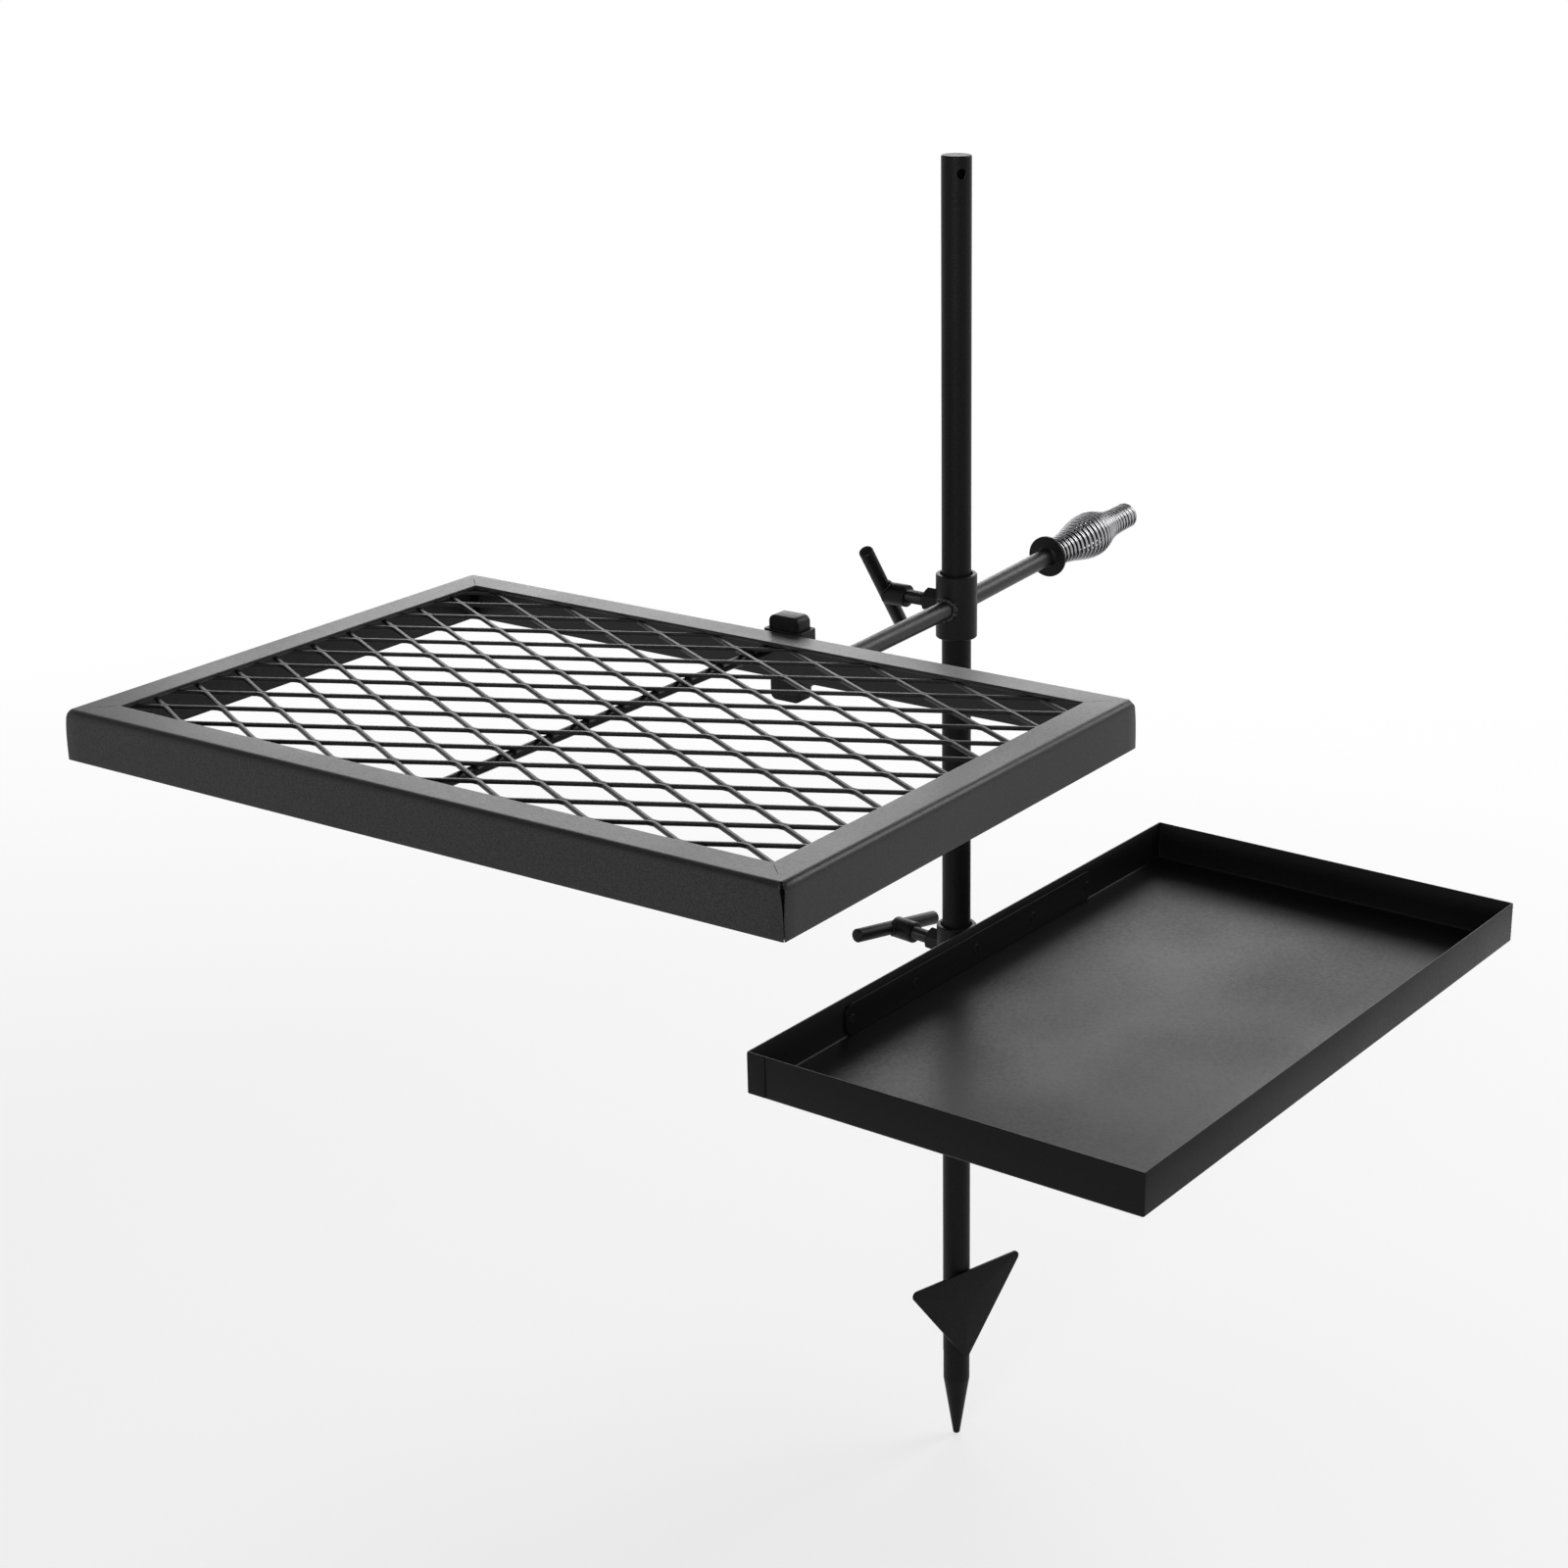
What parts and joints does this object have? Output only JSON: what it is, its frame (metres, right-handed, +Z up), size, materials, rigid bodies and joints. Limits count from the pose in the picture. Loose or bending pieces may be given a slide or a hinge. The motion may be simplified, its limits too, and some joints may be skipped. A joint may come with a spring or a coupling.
{
  "type": "swing arm campfire grill",
  "caption": "Ground stake pole with two clamped sliding collars, one swinging a lift-off mesh grate by a coil spring grip and the other a shallow griddle tray.",
  "frame": {"origin": "on the pole's axis at ground level, which is the top edge of the foot plate", "axes": "+Z up the pole, +X towards the griddle, +Y towards the spring grip; the grate lies towards -Y"},
  "size_m": [0.724, 1.0192, 1.204],
  "materials": {
    "coat": "satin black powder coat",
    "pole_coat": "smooth black powder coat",
    "sheet": "smooth satin black powder coat",
    "thread": "dark oiled screw thread",
    "bush": "plain dark steel",
    "spring": "bright chrome wire"
  },
  "bodies": {
    "pole": {"pole_tube": "pole_coat", "pole_cap": "pole_coat", "ground_spike": "pole_coat", "foot_plate": "coat", "foot_plate_welds": "coat"},
    "arm_carrier": {"arm_bushes": "bush"},
    "swing_arm": {"arm_collar": "coat", "arm_nut": "coat", "arm_rod": "coat", "arm_rod_weld": "coat", "arm_tongue": "coat", "tongue_weld": "coat", "handle_rod": "coat", "handle_rod_weld": "coat", "grip_disc": "coat", "grip_spring": "spring"},
    "arm_lock_stud": {"arm_lock_screw": "thread"},
    "arm_lock_handle": {"arm_lock_boss": "coat", "arm_lock_bar": "coat"},
    "grate": {"grate_front_rail": "coat", "grate_back_rail": "coat", "grate_left_rail": "coat", "grate_right_rail": "coat", "grate_corner_welds": "coat", "grate_mesh": "coat", "grate_support_rod": "coat", "grate_sleeve": "coat", "sleeve_welds": "coat"},
    "griddle_carrier": {"griddle_bushes": "bush"},
    "griddle": {"griddle_collar": "coat", "griddle_nut": "coat", "griddle_tray": "sheet", "griddle_welds": "coat", "griddle_strip": "sheet", "griddle_plug_welds": "sheet"},
    "griddle_lock_stud": {"griddle_lock_screw": "thread"},
    "griddle_lock_handle": {"griddle_lock_boss": "coat", "griddle_lock_bar": "coat"}
  },
  "joints": [
    {"name": "arm_height", "type": "slide", "parent": "pole", "child": "arm_carrier", "axis": [0, 0, 1], "range_m": [-0.24, 0.32]},
    {"name": "arm_swing", "type": "hinge", "parent": "arm_carrier", "child": "swing_arm", "pos_m": [0, 0, 0.644], "axis": [0, 0, 1], "continuous": true},
    {"name": "arm_lock_turn", "type": "hinge", "parent": "arm_lock_stud", "child": "arm_lock_handle", "pos_m": [-0.0731, 0, 0.644], "axis": [-1, 0, 0], "range_deg": [0, 1080]},
    {"name": "arm_lock_travel", "type": "slide", "parent": "swing_arm", "child": "arm_lock_stud", "axis": [-1, 0, 0], "range_m": [0, 0.0053]},
    {"name": "grate_lift", "type": "slide", "parent": "swing_arm", "child": "grate", "axis": [0, 0, 1], "range_m": [0, 0.075]},
    {"name": "griddle_height", "type": "slide", "parent": "pole", "child": "griddle_carrier", "axis": [0, 0, 1], "range_m": [-0.25, 0.24]},
    {"name": "griddle_swing", "type": "hinge", "parent": "griddle_carrier", "child": "griddle", "pos_m": [0, 0, 0.3255], "axis": [0, 0, 1], "continuous": true},
    {"name": "griddle_lock_turn", "type": "hinge", "parent": "griddle_lock_stud", "child": "griddle_lock_handle", "pos_m": [-0.07239, 0.01017, 0.3255], "axis": [-0.9903, 0.1392, 0], "range_deg": [0, 1080]},
    {"name": "griddle_lock_travel", "type": "slide", "parent": "griddle", "child": "griddle_lock_stud", "axis": [-0.9903, 0.1392, 0], "range_m": [0, 0.0053]}
  ],
  "couplings": [
    {"joint": "arm_lock_travel", "follows": "arm_lock_turn", "m_per_rad": 0.00027852},
    {"joint": "griddle_lock_travel", "follows": "griddle_lock_turn", "m_per_rad": 0.00027852}
  ]
}
